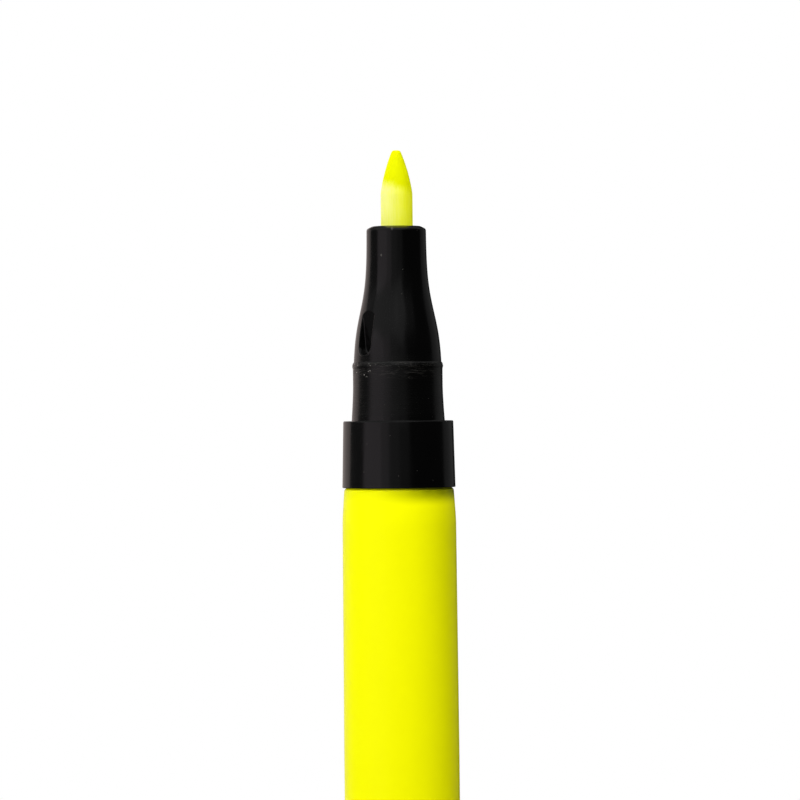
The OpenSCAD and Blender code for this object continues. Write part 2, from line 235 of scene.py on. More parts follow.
class Finish:
    # one node material, with a shader whose sockets are set by name
    def __init__(self, name, **fixed):
        self.material = bpy.data.materials.new(name)
        self.material.use_nodes = True
        self.tree = self.material.node_tree
        self.shader = self.tree.nodes["Principled BSDF"]
        for key, value in fixed.items():
            self.shader.inputs[key.replace("_", " ")].default_value = value
        self.place = self.node("ShaderNodeTexCoord", {}, {}, "Object")

    def node(self, kind, settings, values, out=0):
        made = self.tree.nodes.new(kind)
        for key, value in settings.items():
            setattr(made, key, value)
        for key, value in values.items():
            socket = socketOf(made.inputs, key)
            if isinstance(value, Wire):
                self.tree.links.new(value.socket, socket)
            else:
                socket.default_value = value
        return Wire(self, socketOf(made.outputs, out))

    def set(self, name, wire):
        self.tree.links.new(wire.socket, self.shader.inputs[name])

    def stretched(self, x, y, z, turn=0.0):
        # the piece's own coordinates in millimetres, times x, y and z, then turned about the axis
        return self.node("ShaderNodeMapping", {}, {
            "Vector": self.place, "Scale": (x / mm, y / mm, z / mm), "Rotation": (0, 0, turn)})

    def coordinates(self):
        # the piece's own x, y and z in millimetres
        split = self.node("ShaderNodeSeparateXYZ", {}, {0: self.place})
        return [split.other(name) * (1 / mm) for name in "XYZ"]

    def noise(self, vector, detail=3.0, rough=0.5, warp=0.0):
        return self.node("ShaderNodeTexNoise", {}, {
            "Vector": vector, "Scale": 1.0, "Detail": detail, "Roughness": rough, "Distortion": warp})

    def cells(self, vector):
        # distance from the nearest of the points strewn about, one to a cell
        return self.node("ShaderNodeTexVoronoi", {"feature": "F1"}, {"Vector": vector, "Scale": 1.0},
                         "Distance")

    def mixed(self, factor, first, second):
        return self.node("ShaderNodeMix", {"data_type": "RGBA"}, {
            "Factor_Float": factor, "A_Color": first, "B_Color": second}, "Result_Color")

    def bump(self, height, depth, under=None):
        values = {"Height": height, "Distance": depth, "Strength": 1.0}
        if under is not None:
            values["Normal"] = under
        return self.node("ShaderNodeBump", {}, values)

    def give(self, piece):
        piece.data.materials.clear()
        piece.data.materials.append(self.material)


def colour(r, g, b):
    return (r, g, b, 1.0)


yellowPlastic = {"tone": (0.94, 0.94, 0.0008), "cloud": (0.975, 0.98, 1.0), "shine": 0.07, "glow": 0.07,
                 "scatter": 0.4, "rough": 0.2, "grainRough": 0.05, "rubRough": 0.12,
                 "grainDepth": 0.0000012, "peelDepth": 0.000004,
                 "collarShade": (0.03, 0.06, 0.0005), "collarShadeDepth": (0.3, 1.8), "collarShadeSide": (-3.2, 4.2),
                 "collarShadeAmount": (0.08, 0.74)}


def fluorescentPlastic(name, edge=None):
    # moulded ink-yellow plastic that glows a little, with a faint drawn grain along the pen and hairline
    # rubs. Below a height edge it has painted shade, a dark tone standing in for the collar's shadow, whole
    # down to the first collarShadeDepth and gone by the second; its strength rises from the first
    # collarShadeAmount at the first collarShadeSide, in x, to the second
    p = yellowPlastic
    f = Finish(name, Specular_IOR_Level=p["shine"], Emission_Strength=p["glow"],
               Subsurface_Weight=p["scatter"], Subsurface_Radius=(0.6, 0.6, 0.06), Subsurface_Scale=mm)
    cloud = f.noise(f.stretched(0.14, 0.14, 0.05), detail=2.0)
    grain = f.noise(f.stretched(9, 9, 0.35), detail=4.0, rough=0.6)
    peel = f.noise(f.stretched(2.2, 2.2, 1.6), detail=2.0)
    rubs = f.noise(f.stretched(3.0, 3.0, 0.8, 0.4), detail=6.0, rough=0.7, warp=1.5)
    clouded = [a * b for a, b in zip(p["tone"], p["cloud"])]
    tone = f.mixed(cloud.ramp(0.35, 0.7), colour(*p["tone"]), colour(*clouded))
    if edge is not None:
        x, _, z = f.coordinates()
        patchy = f.noise(f.stretched(0.8, 0.8, 2.0), detail=3.0) * 0.3 + 0.85
        # painted shade: a dark tone under the collar's edge standing in for its shadow, stronger toward +x
        collarShade = (edge - z).ramp(*p["collarShadeDepth"], 1.0, 0.0) * x.ramp(*p["collarShadeSide"], *p["collarShadeAmount"])
        tone = f.mixed(collarShade * patchy, tone, colour(*p["collarShade"]))
    f.set("Base Color", tone)
    f.set("Emission Color", tone)
    f.set("Roughness", p["rough"] + grain.ramp(0.4, 0.7) * p["grainRough"]
          + rubs.ramp(0.62, 0.72) * p["rubRough"])
    f.set("Normal", f.bump(grain, p["grainDepth"], f.bump(peel, p["peelDepth"])))
    return f


blackPlastic = {"tone": (0.0008, 0.0008, 0.0008), "speckAndGlintTone": (0.66, 0.62, 0.56),
                "rough": 0.17, "flowRough": 0.06, "rubRough": 0.05, "ringRough": 0.07, "hairRough": 0.2,
                "dustRough": 0.3, "dust": 0.9, "hairs": 0.025, "lint": 0.07,
                "speckSize": (0.2, 0.06), "speckSide": (-3.4, -1.8), "squash": 0.6,
                "ringDepth": 0.0000012, "peelDepth": 0.000005, "hairDepth": 0.000004}


def neckPlastic(name, foot, bead, flecksAndGlint=()):
    # glossy black plastic, rubbed dull below its bead in faint rings; the bead carries pale specks, mostly
    # at -x, and each fleck, a pale nick or a painted highlight, is pale where the distance to its place,
    # with heights squashed, is under its radius
    p = blackPlastic
    f = Finish(name, Specular_IOR_Level=0.5, IOR=1.5)
    x, y, height = f.coordinates()
    nearBead = (1 - (height - bead).ramp(0.15, 0.5)) * (bead - height).ramp(0.3, 1.5, 1.0, 0.0)
    rubbed = (height - foot).ramp(0.1, 0.8) * (1 - (height - bead).ramp(0.6, 1.4))
    rings = f.noise(f.stretched(0.25, 0.25, 11), detail=4.0, rough=0.7).ramp(0.38, 0.66)
    hairs = f.noise(f.stretched(1.1, 1.1, 9), detail=6.0, rough=0.75, warp=0.6).ramp(0.5, 0.64)
    specks = f.cells(f.stretched(2.2, 2.2, 3.4)).ramp(*p["speckSize"])
    rare = f.noise(f.stretched(0.9, 0.9, 1.3), detail=1.0).ramp(0.5, 0.6)
    dust = specks * rare * nearBead * x.ramp(*p["speckSide"], 1.0, 0.06)
    lint = f.cells(f.stretched(1.1, 1.1, 0.8)).ramp(0.05, 0.02)
    wearAndGlint = (dust * p["dust"]).most(hairs * nearBead * p["hairs"]).most(lint * p["lint"])
    flat = f.node("ShaderNodeCombineXYZ", {}, {0: x, 1: height * p["squash"]})
    # each fleck paints a pale spot; the one by the neck's top edge is a painted highlight
    for across, up, radius, strength in flecksAndGlint:
        away = f.node("ShaderNodeVectorMath", {"operation": "DISTANCE"},
                      {0: flat, 1: (across, up * p["squash"], 0)}, "Value")
        wearAndGlint = wearAndGlint.most(away.ramp(radius, radius * 0.4) * strength * (y * -1).ramp(0.0, 0.5))
    f.set("Base Color", f.mixed(wearAndGlint.least(1.0), colour(*p["tone"]), colour(*p["speckAndGlintTone"])))
    flow = f.noise(f.stretched(0.9, 0.9, 0.35), detail=3.0)
    f.set("Roughness", p["rough"] + flow.ramp(0.3, 0.75) * p["flowRough"]
          + rubbed * (p["rubRough"] + rings * p["ringRough"]) + hairs * nearBead * p["hairRough"]
          + dust * p["dustRough"])
    peel = f.noise(f.stretched(1.3, 1.3, 0.7), detail=2.0)
    ridged = f.bump(rings * rubbed, p["ringDepth"], f.bump(peel, p["peelDepth"]))
    f.set("Normal", f.bump(hairs * nearBead, p["hairDepth"], ridged))
    return f


fibre = {"sheenSkin": [(0.63, 0.64, 0.225), (0.615, 0.63, 0.145)],
         "plainSkin": [(0.625, 0.64, 0.022), (0.6, 0.62, 0.008)],
         "wet": [(0.525, 0.55, 0.0007), (0.505, 0.53, 0.0005)],
         "foot": (0.45, 0.48, 0.02), "footAmount": 0.4, "footDepth": (5.0, 7.5), "sheenSide": (-1.45, 1.25),
         "glow": 0.5, "shine": 0.02, "scatter": 0.5, "rough": 0.62, "wetRough": 0.42,
         "edge": 3.55, "lean": 0.3, "soft": 0.5, "wander": 0.9,
         "strandDepth": 0.00001, "endDepth": 0.000006}


def nibFibre(name):
    # bonded fibre: fine strands along the rod; its skin carries a painted sheen, pale at -x and plain at
    # +x, and the ground point is wet all over. The point's border lies where depth - lean x + wander (noise
    # - 0.5) = edge
    p = fibre
    # the fibre glows of its own, painted light that evens out its lit and shaded sides
    f = Finish(name, Specular_IOR_Level=p["shine"], Emission_Strength=p["glow"],
               Subsurface_Weight=p["scatter"], Subsurface_Radius=(0.5, 0.5, 0.05), Subsurface_Scale=mm)
    x, _, z = f.coordinates()
    depth = tip - z
    wander = f.noise(f.stretched(2.5, 2.5, 1.2), detail=3.0) - 0.5
    strands = f.noise(f.stretched(11, 11, 0.55), detail=5.0, rough=0.65)
    ends = f.cells(f.stretched(14, 14, 14))
    ground = (depth - x * p["lean"] + wander * p["wander"]).ramp(
        p["edge"] - p["soft"], p["edge"] + p["soft"], 1.0, 0.0)
    sheenSkin = f.mixed(strands.ramp(0.35, 0.65), *[colour(*c) for c in p["sheenSkin"]])
    plainSkin = f.mixed(strands.ramp(0.35, 0.65), *[colour(*c) for c in p["plainSkin"]])
    wet = f.mixed(strands.ramp(0.4, 0.7), *[colour(*c) for c in p["wet"]])
    # painted sheen: the skin is paler at -x, on the side the light falls from, and plain at +x
    skin = f.mixed((x + wander * 0.5).ramp(*p["sheenSide"]), sheenSkin, plainSkin)
    skin = f.mixed(depth.ramp(*p["footDepth"]) * p["footAmount"], skin, colour(*p["foot"]))
    shade = f.mixed(ground, skin, wet)
    f.set("Base Color", shade)
    f.set("Emission Color", shade)
    f.set("Roughness", p["rough"] - ground * (p["rough"] - p["wetRough"]))
    f.set("Normal", f.bump(ends * ground, p["endDepth"], f.bump(strands, p["strandDepth"])))
    return f


def plainFibre(name, base, deep):
    # bundled fibre, its strands along the rod, with ink drawn deeper into some of them
    f = Finish(name, Roughness=0.85, Specular_IOR_Level=0.2)
    strands = f.noise(f.stretched(7, 7, 0.25), detail=5.0, rough=0.7)
    wicked = f.noise(f.stretched(0.3, 0.3, 0.06), detail=2.0)
    soaked = strands.ramp(0.35, 0.7) * 0.6 + wicked.ramp(0.4, 0.6) * 0.4
    f.set("Base Color", f.mixed(soaked, colour(*base), colour(*deep)))
    f.set("Normal", f.bump(strands, 0.00003))
    return f


def milkyPlastic(name, base, alpha=1.0):
    # natural plastic that lets some light in, a little uneven where it flowed
    f = Finish(name, Subsurface_Weight=0.3, Subsurface_Radius=(1, 1, 1), Subsurface_Scale=mm, Alpha=alpha)
    flow = f.noise(f.stretched(0.5, 0.5, 0.2), detail=3.0)
    f.set("Base Color", f.mixed(flow.ramp(0.35, 0.7), colour(*base), colour(*[c * 0.93 for c in base])))
    f.set("Roughness", 0.38 + flow * 0.12)
    f.set("Normal", f.bump(f.noise(f.stretched(3, 3, 2), detail=3.0), 0.000006))
    return f


# heights along the pen, in millimetres, taken from the frame
lengths = {"skirt": 8.5, "barrel": 75.0, "collar": 6.4}
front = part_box("neck")[0].z / mm + lengths["skirt"]
shoulder = front - lengths["barrel"]
collar = front + lengths["collar"]
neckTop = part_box("neck")[1].z / mm
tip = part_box("nib")[1].z / mm
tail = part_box("barrel")[0].z / mm
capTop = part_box("cap_shell")[1].z / mm
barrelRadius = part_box("barrel")[1].x / mm
print("front edge", round(front, 2), "collar top", round(collar, 2), "neck face", round(neckTop, 2))

barrel = {"sides": 224, "draft": 0.09, "taper": 25.0, "lip": 0.2, "lipHeight": 3.4, "edge": 0.36,
          "rearRadius": 5.35, "rearTaper": 15.0, "tailRadius": 4.28, "tailBore": 3.3, "bore": 4.45,
          "floor": 2.0, "ribs": 6, "ribWidth": 0.6, "ribInner": 3.69, "ribTurn": 15.0, "ribStop": 12.0,
          "pips": 3, "pipWidth": 0.76, "pipRise": 0.09, "pipLow": 2.4, "pipHigh": 0.8}


def barrelRadiusAt(d):
    # radius a distance d behind the front edge: R - draft (1 - d / taper) - lip (1 - d / lipHeight)^1.25
    b = barrel
    return (barrelRadius - b["draft"] * np.clip(1 - d / b["taper"], 0, 1)
            - b["lip"] * np.clip(1 - d / b["lipHeight"], 0, 1) ** 1.25)


def makeBarrel():
    b = barrel
    rim = float(barrelRadiusAt(0.0))
    d = np.concatenate([np.linspace(b["taper"], 4, 24), np.linspace(3.8, 0.35, 20)])
    wall = np.stack([barrelRadiusAt(d), front - d, 0 * d], -1)
    outline = softLine(
        [[b["tailBore"], tail, 0.1], [b["tailRadius"], tail, 0.25], [b["tailRadius"], shoulder, 0.12],
         [b["rearRadius"], shoulder, 0.18], [barrelRadius, shoulder + b["rearTaper"], 0]]
        + wall.tolist()
        + [[rim + 0.01, front, b["edge"]], [b["bore"], front, 0.08],
           [b["bore"], shoulder + b["floor"], 0.05], [b["tailBore"], shoulder + b["floor"], 0.05]])
    shell = hoopGrid(turned(closeSet(outline, 1.2), b["sides"]))
    rib, pip = b["ribWidth"] / 2, b["pipWidth"] / 2
    ribs = [barBlock((b["ribInner"], -rib, shoulder + b["floor"] - sunk),
                     (b["bore"] + 0.1, rib, front - b["ribStop"]),
                     math.radians(b["ribTurn"] + 360 / b["ribs"] * k)) for k in range(b["ribs"])]
    pips = [barBlock((b["tailRadius"] - 0.2, -pip, shoulder - b["pipLow"]),
                     (b["tailRadius"] + b["pipRise"], pip, shoulder - b["pipHigh"]),
                     math.radians(360 / b["pips"] * k)) for k in range(b["pips"])]
    piece = putMesh("barrelTube", *gathered([shell] + ribs + pips))
    piece.data.set_sharp_from_angle(angle=crease)
    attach(piece, "pen")
    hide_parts("barrel")
    return piece


neck = {"base": 4.31, "flare": 0.17, "flareHeight": 3.4, "bead": 5.27, "beadRise": 0.058, "beadWidth": 0.19,
        "stepFrom": 5.5, "stepTo": 5.69, "waist": 4.285, "throat": 2.848, "middle": 10.4, "soft": 1.65,
        "waistTop": 18.2, "edge": 0.55, "edgeDrop": 0.27, "hole": 1.61, "lip": 1.2,
        "collarTop": 5.29, "collarFoot": 5.44, "skirt": 4.43, "skirtBore": 3.68, "innerSkirt": 3.45,
        "wall": 1.25, "channel": 1.9, "channelTube": 2.55, "channelLow": 2.2,
        "chamberLow": 6.0, "chamberTop": 8.6, "nearSide": 19.0}
pocket = {"angle": math.radians(219), "width": 1.72, "low": 6.35, "top": 10.2, "floor": 3.5,
          "slope": 0.0875, "rim": 0.1, "fillet": 0.12, "wall": 0.014,
          "burr": 0.022, "burrWidth": 0.06, "burrFade": 0.25, "innermost": 2.6}


def neckRadiusAt(h):
    # radius at height h over the collar: a base that flares by flare (1 - h / flareHeight)^1.45, a bead of
    # beadRise exp(-((h - bead) / beadWidth)^2), a small step at its upper side, then a waist that falls
    # from its own radius to the throat's as 1 / (1 + exp((h - middle) / soft))
    n = neck
    base = n["base"] + n["flare"] * np.clip(1 - h / n["flareHeight"], 0, 1) ** 1.45
    waist = n["throat"] + (n["waist"] - n["throat"]) / (1 + np.exp((h - n["middle"]) / n["soft"]))
    step = smooth(h, n["stepFrom"], n["stepTo"])
    bead = n["beadRise"] * np.exp(-((h - n["bead"]) / n["beadWidth"]) ** 2)
    return base * (1 - step) + waist * step + bead


def arcDrop(r, v):
    # how far an arc of radius r has dropped a level distance v from its top: r - sqrt(r^2 - v^2), with v
    # held between 0 and r
    return r - np.sqrt(np.clip(r * r - np.clip(v, 0, r) ** 2, 0, None))


def pocketed(grid):
    # inside an outline that is round at its lower end, points are drawn back along the pocket's direction
    # to a flat floor at floor - slope (top - h); u is the distance inside the outline, the rim is rounded
    # as r - sqrt(r^2 - (u + r)^2), the floor meets the wall in a fillet of the same form, and a burr of
    # height burr exp(-((u + 2 burrWidth) / burrWidth)^2) stands round the outline
    p = pocket
    c, s = math.cos(p["angle"]), math.sin(p["angle"])
    out, across = grid[..., 0] * c + grid[..., 1] * s, grid[..., 1] * c - grid[..., 0] * s
    h = grid[..., 2] - collar
    half = p["width"] / 2
    u = half - np.hypot(across, np.clip(p["low"] + half - h, 0, None))
    depth = np.clip(out - (p["floor"] - p["slope"] * (p["top"] - h)), 0, None)
    rim, fillet = arcDrop(p["rim"], u + p["rim"]), arcDrop(p["fillet"], p["fillet"] - u)
    wall = smooth(u, -p["wall"], p["wall"])
    burr = np.exp(-((u + 2 * p["burrWidth"]) / p["burrWidth"]) ** 2) * smooth(depth, 0, p["burrFade"])
    back = np.minimum(rim * (1 - wall) + np.maximum(depth - fillet, rim) * wall, depth) - p["burr"] * burr
    # only the outer wall moves, and nothing at the bead or below it
    back = back * (out > p["innermost"]) * smooth(h, neck["stepTo"] + 0.06, neck["stepTo"] + 0.21)
    return np.stack([grid[..., 0] - back * c, grid[..., 1] - back * s, grid[..., 2]], -1)


def makeNeck():
    # rows lie close at the bead and along the pocket, and columns on the pocket's side
    n = neck
    h = np.concatenate([np.linspace(0.12, 4.6, 18), np.linspace(4.75, 5.75, 30), np.linspace(5.8, 7.4, 46),
                        np.linspace(7.45, 11.6, 74), np.linspace(11.75, n["waistTop"], 44)])
    wall = np.stack([neckRadiusAt(h), collar + h, 0 * h], -1)
    foot, throat, low, top = (float(neckRadiusAt(np.array(v)))
                              for v in (0.0, n["waistTop"] + 0.3, n["chamberLow"], n["chamberTop"]))
    foldZ, chamberZ = collar + n["channelLow"], collar + n["chamberTop"]
    outline = softLine(
        [[n["skirtBore"], front - lengths["skirt"], 0.1], [n["skirt"], front - lengths["skirt"], 0.25],
         [n["skirt"], front, 0.03], [n["collarFoot"], front, 0.07], [n["collarTop"], collar, 0.12],
         [foot, collar, 0.06]]
        + wall.tolist()
        + [[throat, neckTop - n["edgeDrop"], 0.3], [throat - n["edge"], neckTop, 0.4],
           [n["hole"], neckTop, 0.07], [n["hole"], neckTop - n["lip"], 0.03],
           [n["channel"], neckTop - n["lip"], 0.03], [n["channel"], foldZ, 0.05],
           [n["channelTube"], foldZ, 0.05], [n["channelTube"], chamberZ, 0.05],
           [top - n["wall"], chamberZ, 0.05], [low - n["wall"], collar + n["chamberLow"], 0.1],
           [n["innerSkirt"], foldZ, 0.05], [n["skirtBore"], foldZ, 0.05]])
    near = math.radians(n["nearSide"])
    angles = pocket["angle"] + np.concatenate([np.linspace(-near, near, 93)[:-1],
                                               np.linspace(near, 2 * np.pi - near, 177)[:-1]])
    piece = putMesh("neckHolder", *hoopGrid(pocketed(turned(closeSet(outline, 1.6), angles))))
    piece.data.set_sharp_from_angle(angle=crease)
    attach(piece, "pen")
    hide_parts("neck")
    return piece


nib = {"sides": 192, "radius": 1.53, "blunt": 0.2, "edge": 0.26, "ground": 4.2, "meet": 0.012, "plain": 4.9,
       "tailRadius": 0.42, "tailCone": 1.4, "reach": 2.0, "shift": 0.07}


def makeNib():
    n = nib
    low = collar - n["reach"]
    # the ground point: radius 0.39 + 0.415 d - 0.034 d^2 at depth d, steeper by 0.5 past a depth of ground,
    # and held under the rod's radius R by the soft least -k log(exp(-r / k) + exp(-R / k)), k being meet;
    # at the tip it closes in a rounded rim and a flat of radius blunt
    a = np.linspace(90, 24, 12) * np.pi / 180
    rimR, rimD = n["blunt"] + n["edge"] * np.cos(a), n["edge"] * (1 - np.sin(a))
    d = np.linspace(0.2, n["plain"], 80)
    flatR = np.linspace(0.04, n["blunt"], 6)[:-1]
    coneR = np.concatenate([flatR, rimR, 0.39 + 0.415 * d - 0.034 * d * d])
    coneD = np.concatenate([0 * flatR, rimD, d])
    coneR = coneR + 0.5 * np.clip(coneD - n["ground"], 0, None)
    k = n["meet"]
    held = -k * np.logaddexp(-coneR / k, -n["radius"] / k)
    point = np.stack([held, tip - coneD], -1)[::-1]
    rodZ = np.concatenate([np.linspace(low + n["tailCone"] + 0.1, neckTop - 0.3, 30),
                           np.linspace(neckTop - 0.2, tip - n["plain"] - 0.05, 30)])
    tailZ = [low, low + 0.05]
    rodR = np.concatenate([[n["tailRadius"] - 0.07, n["tailRadius"]], np.full(len(rodZ), n["radius"])])
    rod = np.stack([rodR, np.concatenate([tailZ, rodZ])], -1)
    grid = turned(np.vstack([rod, point]), n["sides"]) + [n["shift"], 0, 0]
    piece = putMesh("fibreNib", *closedGrid(grid))
    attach(piece, "pen")
    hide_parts("nib")
    return piece


cap = {"sides": 224, "mouth": 5.3, "crown": 5.0, "flat": 4.3, "round": 0.8, "wall": 1.4,
       "vents": 3, "ventRadius": 0.8, "ventCircle": 2.4, "bore": 4.25, "shelf": 12.4,
       "grip": 4.41, "gripTop": 2.0, "funnel": 0.12, "funnelDepth": 0.6, "rib": 4.34, "ribDepth": 4.75,
       "groove": 4.445, "grooveDepth": 5.4, "fins": 3, "finWidth": 0.8, "finInner": 2.4, "finTop": 17.4}


def makeCap():
    # depths run down from the mouth; the snap rib and its groove are each a flat with two short slopes
    c = cap
    ribZ, grooveZ, shelfZ = capTop - c["ribDepth"], capTop - c["grooveDepth"], capTop - c["shelf"]
    a = np.linspace(-88, 0, 16) * np.pi / 180
    side = c["crown"] + (c["mouth"] - c["crown"]) * c["round"] / capTop
    corner = np.stack([side - c["round"] + c["round"] * np.cos(a), c["round"] * (1 + np.sin(a)), 0 * a], -1)
    outline = softLine(
        [[0.5, 0.0, 0], [c["flat"] - 0.1, 0.0, 0]] + corner.tolist()
        + [[c["mouth"], capTop, 0.16], [c["grip"] + c["funnel"] + 0.1, capTop, 0.08],
           [c["grip"] + c["funnel"], capTop - c["funnelDepth"], 0.2],
           [c["grip"], capTop - c["gripTop"], 0.3], [c["grip"], ribZ + 0.4, 0.1],
           [c["rib"], ribZ + 0.1, 0.06], [c["rib"], ribZ - 0.1, 0.06],
           [c["groove"], grooveZ + 0.4, 0.05], [c["groove"], grooveZ - 0.4, 0.05],
           [c["grip"] - 0.02, grooveZ - 0.6, 0.05], [c["grip"] - 0.02, shelfZ + 0.5, 0.1],
           [c["bore"], shelfZ, 0.1], [c["bore"], c["wall"] + 1, 0.2], [c["bore"] - 0.1, c["wall"], 0.2],
           [0.5, c["wall"], 0]], closed=False)
    shell = closedGrid(turned(closeSet(outline, 1.1, closed=False), c["sides"]))
    fin = c["finWidth"] / 2
    fins = [barBlock((c["finInner"], -fin, c["wall"] - 2 * sunk), (c["bore"] + 0.1, fin, c["finTop"]),
                     math.radians(30 + 360 / c["fins"] * k)) for k in range(c["fins"])]
    piece = putMesh("capShell", *gathered([shell] + fins))
    vent = turned(np.array([[c["ventRadius"], -0.5], [c["ventRadius"], c["wall"] + 0.6]]), 48)
    vents = [closedGrid(vent + [c["ventCircle"] * math.cos(v), c["ventCircle"] * math.sin(v), 0])
             for v in np.radians(90 + 360 / c["vents"] * np.arange(c["vents"]))]
    cutter = putMesh("ventCutter", *gathered(vents))
    cut = piece.modifiers.new("vents", "BOOLEAN")
    cut.object, cut.solver = cutter, "EXACT"
    dg = bpy.context.evaluated_depsgraph_get()
    opened = bpy.data.meshes.new_from_object(piece.evaluated_get(dg))
    piece.modifiers.clear()
    piece.data = opened
    bpy.data.objects.remove(cutter)
    opened.shade_smooth()
    opened.set_sharp_from_angle(angle=crease)
    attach(piece, "cap")
    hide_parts("cap_shell")
    return piece


clip = {"sides": 64, "squareness": 5.0, "rootWidth": 4.2, "tipWidth": 3.2, "out": 7.4, "thick": 1.12,
        "rootThick": 1.7, "rootZ": 3.5, "rootY": 4.45, "bend": 1.5, "top": 41.1,
        "capSide": 4.95, "spread": 0.9, "spreadReach": 0.28, "nose": 0.82, "noseZ": 38.3, "noseReach": 1.35,
        "end": 0.75, "endTaper": 0.35, "lift": 0.325, "crown": 0.1}


def makeClip():
    # a rounded bar carried along a path that leaves the cap sideways, bends through a quarter circle and
    # runs up; its section is |x / a|^p + |n / b|^p = 1, a and b being half its width and thickness and p
    # its squareness
    c = clip
    line = c["out"] - c["thick"] / 2
    sideways = np.linspace(c["rootY"], line - c["bend"], 14)
    a = np.linspace(0, 90, 26)[1:] * np.pi / 180
    up = np.linspace(c["rootZ"] + c["bend"], c["top"], 200)[1:]
    y = np.concatenate([sideways, line - c["bend"] + c["bend"] * np.sin(a), np.full(len(up), line)])
    z = np.concatenate([np.full(len(sideways), c["rootZ"]), c["rootZ"] + c["bend"] * (1 - np.cos(a)), up])
    s = np.concatenate([[0], np.cumsum(np.hypot(np.diff(y), np.diff(z)))])
    ty, tz = np.gradient(y, s), np.gradient(z, s)
    size = np.hypot(ty, tz)
    ny, nz = tz / size, -ty / size  # away from the pen on the bar, and down at the root
    along = smooth(z, c["rootZ"] + 1, c["top"])
    width = c["rootWidth"] + (c["tipWidth"] - c["rootWidth"]) * along
    thick = c["rootThick"] + (c["thick"] - c["rootThick"]) * smooth(s, 0.2, 3.3)
    # it spreads where it meets the cap, by spread exp(-(y - capSide) / spreadReach)
    meet = c["spread"] * np.exp(-np.clip(y - c["capSide"], 0, None) / c["spreadReach"]) * (s < 3.5)
    width, thick = width + meet, thick + meet
    # the nose swells on the inner side as nose exp(-((z - noseZ) / noseReach)^2), and past it the inner
    # side lifts; over the last stretch, end long, the bar closes as sqrt(1 - t^2)
    nose = c["nose"] * np.exp(-(((z - c["noseZ"]) / c["noseReach"]) ** 2)) * (z > 30)
    closing = np.sqrt(1 - np.clip((z - (c["top"] - c["end"])) / c["end"], 0, 0.999) ** 2)
    lift = c["lift"] * smooth(z, c["noseZ"] + 1.0, c["top"])
    t = np.arange(c["sides"]) * 2 * np.pi / c["sides"]
    cx, cn = (np.sign(v) * np.abs(v) ** (2 / c["squareness"]) for v in (np.cos(t), np.sin(t)))
    n = thick[:, None] / 2 * closing[:, None] * cn
    n = n - np.clip(-cn, 0, 1) * (nose * closing - lift)[:, None]
    n = n - c["crown"] * cx ** 2 * np.clip(cn, 0, 1) * smooth(s, 4, 8)[:, None]  # the outer face is crowned
    x = width[:, None] / 2 * (1 - c["endTaper"] * (1 - closing[:, None])) * cx
    grid = np.stack([x, -(y[:, None] + ny[:, None] * n), z[:, None] + nz[:, None] * n], -1)
    piece = putMesh("pocketClip", *closedGrid(grid))
    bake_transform(piece)
    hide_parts("clip")
    return piece


plug = {"sides": 128, "flange": 4.0, "thick": 1.0, "dimple": 1.4, "dimpleDepth": 0.25, "skirt": 3.28,
        "depth": 6.0, "wall": 0.7, "finReach": 2.65, "finWidth": 0.8}


def makePlug():
    p = plug
    outer, inner = tail - p["thick"], tail + p["wall"]
    outline = softLine(
        [[0.05, outer + p["dimpleDepth"], 0], [p["dimple"], outer + p["dimpleDepth"], 0.1],
         [p["dimple"] + 0.2, outer, 0.15], [p["flange"], outer, 0.3], [p["flange"], tail - 0.02, 0.06],
         [p["skirt"], tail - 0.02, 0.04], [p["skirt"], tail + p["depth"], 0.15],
         [p["skirt"] - p["wall"], tail + p["depth"], 0.1], [p["skirt"] - p["wall"], inner, 0.1],
         [0.05, inner, 0]], closed=False)
    cup = closedGrid(turned(closeSet(outline, 0.8, closed=False), p["sides"]))
    reach, fin = p["finReach"], p["finWidth"] / 2
    fins = [barBlock((-reach, -fin, inner - sunk), (reach, fin, shoulder + barrel["floor"]),
                     math.radians(turn)) for turn in (45, 135)]
    piece = putMesh("endPlug", *gathered([cup] + fins))
    piece.data.set_sharp_from_angle(angle=crease)
    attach(piece, "pen")
    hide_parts("end_plug")
    return piece


made = {"barrel": makeBarrel(), "neck": makeNeck(), "nib": makeNib(), "cap": makeCap(), "clip": makeClip(),
        "plug": makePlug()}
print("pieces made:", ", ".join(f"{k} {len(o.data.polygons)}" for k, o in made.items()))

# a pale nick, then a painted highlight on the neck's top edge: x, height, radius and strength
nickAndGlint = [(-1.46, collar + 15.87, 0.1, 0.08), (-0.4, neckTop - 0.3, 0.14, 0.05)]
cleanYellow = fluorescentPlastic("fluorescentPlastic")
cleanYellow.give(made["cap"])
cleanYellow.give(made["clip"])
# the barrel carries painted shade under the collar's edge
fluorescentPlastic("collarShadedPlastic", front).give(made["barrel"])
neckPlastic("neckPlastic", collar, collar + neck["bead"], nickAndGlint).give(made["neck"])
neckPlastic("plugPlastic", tail + 20, tail + 30).give(made["plug"])
nibFibre("nibFibre").give(made["nib"])
plainFibre("reservoirFibre", (0.88, 0.92, 0.04), (0.74, 0.8, 0.02)).give(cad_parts["reservoir_core"])
milkyPlastic("clearFilm", (0.92, 0.93, 0.7), 0.45).give(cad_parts["reservoir_film"])
milkyPlastic("tubePlastic", (0.86, 0.87, 0.76)).give(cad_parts["breather_tube"])
milkyPlastic("innerCapPlastic", (0.86, 0.86, 0.8)).give(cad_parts["inner_cap"])
print("finishes given")

studio = {"floorRadius": 0.85, "floorDrop": 0.02, "floorTone": 0.25, "floorTooth": 0.985, "floorShine": 0.6,
          "horizon": 0.018, "sky": 0.2, "skyRise": (0.4, 0.9), "white": 1.0}


